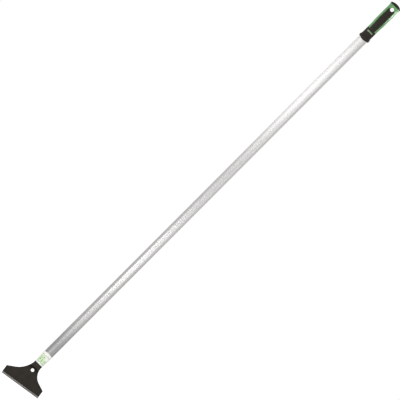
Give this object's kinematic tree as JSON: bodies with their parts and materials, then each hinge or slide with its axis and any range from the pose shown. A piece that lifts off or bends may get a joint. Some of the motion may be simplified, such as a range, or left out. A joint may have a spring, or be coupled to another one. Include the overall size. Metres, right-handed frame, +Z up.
{
  "type": "long-handled algae scraper",
  "caption": "Long-handled scraper: a flat steel blade clamped in a cast head on an aluminium pole with a two-colour hanging grip.",
  "frame": {"origin": "centre of the round hole through the head, on the pole's axis", "axes": "+Z up the pole to the grip, +X right when the front is seen, front faces -Y"},
  "size_m": [0.1035, 0.0286, 1.2286],
  "materials": {
    "tube": "satin anodised",
    "cast_head": "matte black powder coat",
    "blade_steel": "ground",
    "fastener": "zinc plated",
    "label": "printed film",
    "green_plastic": "semi-gloss",
    "soft_black": "matte",
    "badge": "matte",
    "black_plastic": "satin"
  },
  "bodies": {
    "pole": {"pole_tube": "tube", "label_wrap": "label", "neck_pin": "fastener", "head_casting": "cast_head", "grip_core": "green_plastic", "grip_collar": "soft_black", "grip_pad_front": "soft_black", "grip_pad_rear": "soft_black", "grip_badge": "badge", "grip_cap": "black_plastic"},
    "clamp": {"clamp_plate": "cast_head", "flat_washer_left": "fastener", "flat_washer_right": "fastener", "lock_washer_left": "fastener", "lock_washer_right": "fastener"},
    "screw_left": {"clamp_screw_left": "fastener"},
    "screw_right": {"clamp_screw_right": "fastener"},
    "blade": {"blade": "blade_steel"}
  },
  "joints": [
    {"name": "clamp_open", "type": "slide", "parent": "pole", "child": "clamp", "axis": [0, 1, 0], "range_m": [0, 0.0024]},
    {"name": "screw_left_turn", "type": "hinge", "parent": "clamp", "child": "screw_left", "pos_m": [-0.0241, 0.004, -0.0241], "axis": [0, 1, 0], "range_deg": [0, 1080]},
    {"name": "screw_right_turn", "type": "hinge", "parent": "clamp", "child": "screw_right", "pos_m": [0.02334, 0.004, -0.01676], "axis": [0, 1, 0], "range_deg": [0, 1080]},
    {"name": "blade_slide", "type": "slide", "parent": "pole", "child": "blade", "axis": [0.153, 0, -0.9882], "range_m": [0, 0.02]}
  ],
  "couplings": [
    {"joint": "screw_left_turn", "follows": "clamp_open", "rad_per_m": 7854},
    {"joint": "screw_right_turn", "follows": "clamp_open", "rad_per_m": 7854}
  ]
}
